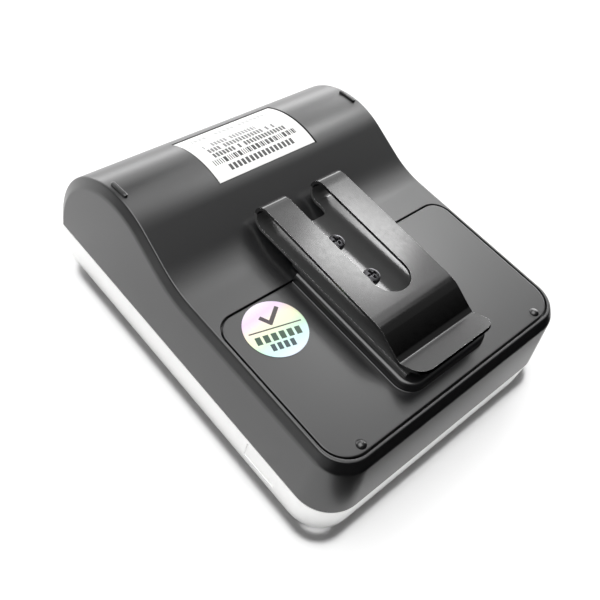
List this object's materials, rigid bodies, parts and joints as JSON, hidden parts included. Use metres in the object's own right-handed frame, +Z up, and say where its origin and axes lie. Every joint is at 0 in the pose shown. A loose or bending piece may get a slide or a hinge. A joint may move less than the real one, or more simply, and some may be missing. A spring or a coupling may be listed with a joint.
{
  "type": "portable receipt printer",
  "caption": "Pocket thermal receipt printer with a bulged paper bay, a hinged paper lid, a battery cover and a sprung steel belt clip.",
  "frame": {"origin": "centre of the bounding box's bottom face, on the surface that the white front face rests on", "axes": "+Z up from the front face to the back, +Y towards the bulged paper bay, +X to the right seen from above with +Y ahead"},
  "size_m": [0.08, 0.101, 0.0361],
  "materials": {
    "black_abs": "satin black moulded ABS with a fine spark-eroded texture",
    "white_abs": "white moulded ABS, lightly polished",
    "label_vinyl": null,
    "sticker_film": "pastel iridescent film sticker",
    "clip_steel": "black plated spring steel, polished",
    "black_screw_steel": "black oxide cross-recess pan head screw",
    "bright_steel": "nickel plated or ground steel",
    "motor_steel": "drawn steel motor can",
    "head_aluminium": "bead blasted aluminium",
    "gold_contact": "gold flashed spring contact",
    "roller_rubber": "ground nitrile rubber",
    "gear_acetal": "natural acetal",
    "chassis_plastic": "dark grey glass filled nylon",
    "board_laminate": "green solder mask on glass epoxy",
    "chip_black": "black moulding compound",
    "pack_wrap": "blue shrink wrap round a lithium cell",
    "clear_plastic": "clear moulded polycarbonate"
  },
  "bodies": {
    "case": {"back_case": "black_abs", "front_case": "white_abs", "rating_plate": "label_vinyl", "case_screw_1": "bright_steel", "case_screw_2": "bright_steel", "case_screw_3": "bright_steel", "case_screw_4": "bright_steel", "battery_pack": "pack_wrap", "battery_contact_1": "gold_contact", "battery_contact_2": "gold_contact", "battery_contact_3": "gold_contact", "lid_hinge_pin": "bright_steel", "mechanism_frame": "chassis_plastic", "head_plate": "head_aluminium", "heater_strip": "chip_black", "head_spring_1": "bright_steel", "head_spring_2": "bright_steel", "feed_motor": "motor_steel", "tear_bar": "bright_steel", "main_board": "board_laminate", "charge_board": "board_laminate", "radio_module": "head_aluminium", "head_connector": "gear_acetal", "buzzer": "chip_black", "usb_socket": "bright_steel", "power_switch": "chip_black", "feed_switch": "chip_black", "status_led_1": "clear_plastic", "status_led_2": "clear_plastic", "light_pipe_1": "clear_plastic", "light_pipe_2": "clear_plastic", "paper_sensor": "chip_black"},
    "battery_door": {"battery_cover": "black_abs", "inspection_sticker": "sticker_film", "clip_base": "clip_steel", "clip_screw_1": "black_screw_steel", "clip_screw_2": "black_screw_steel"},
    "clip": {"clip_arm": "clip_steel"},
    "lid": {"paper_lid": "white_abs", "lid_window": "clear_plastic", "roller_bush_left": "gear_acetal", "roller_bush_right": "gear_acetal"},
    "roller": {"feed_roller": "roller_rubber", "roller_shaft": "bright_steel", "roller_gear": "gear_acetal"},
    "idler": {"idler_gear": "gear_acetal"},
    "pinion": {"motor_pinion": "gear_acetal"},
    "power_button": {"power_key": "chassis_plastic"},
    "feed_button": {"feed_key": "chassis_plastic"},
    "release_button": {"release_key": "white_abs"}
  },
  "joints": [
    {"name": "battery_cover_lift", "type": "slide", "parent": "case", "child": "battery_door", "axis": [0, 0, 1], "range_m": [0, 0.03]},
    {"name": "clip_flex", "type": "hinge", "parent": "battery_door", "child": "clip", "pos_m": [0, 0.01093, 0.03263], "axis": [-1, 0, 0], "range_deg": [0, 6], "stiffness_Nm_per_rad": 10},
    {"name": "lid_hinge", "type": "hinge", "parent": "case", "child": "lid", "pos_m": [0, 0.0396, 0.00205], "axis": [1, 0, 0], "range_deg": [0, 90]},
    {"name": "roller_spin", "type": "hinge", "parent": "lid", "child": "roller", "pos_m": [0, -0.0155, 0.0068], "axis": [1, 0, 0], "continuous": true},
    {"name": "idler_spin", "type": "hinge", "parent": "case", "child": "idler", "pos_m": [0, -0.0238, 0.00862], "axis": [1, 0, 0], "continuous": true},
    {"name": "pinion_spin", "type": "hinge", "parent": "case", "child": "pinion", "pos_m": [0, -0.0308, 0.0084], "axis": [1, 0, 0], "continuous": true},
    {"name": "power_press", "type": "slide", "parent": "case", "child": "power_button", "axis": [0, 0, 1], "range_m": [0, 0.0003], "stiffness_N_per_m": 4000},
    {"name": "feed_press", "type": "slide", "parent": "case", "child": "feed_button", "axis": [0, 0, 1], "range_m": [0, 0.0003], "stiffness_N_per_m": 4000},
    {"name": "release_press", "type": "slide", "parent": "case", "child": "release_button", "axis": [1, 0, 0], "range_m": [0, 0.0012], "stiffness_N_per_m": 2000}
  ],
  "couplings": [
    {"joint": "idler_spin", "follows": "roller_spin", "ratio": -0.88889},
    {"joint": "pinion_spin", "follows": "roller_spin", "ratio": 1.6}
  ]
}
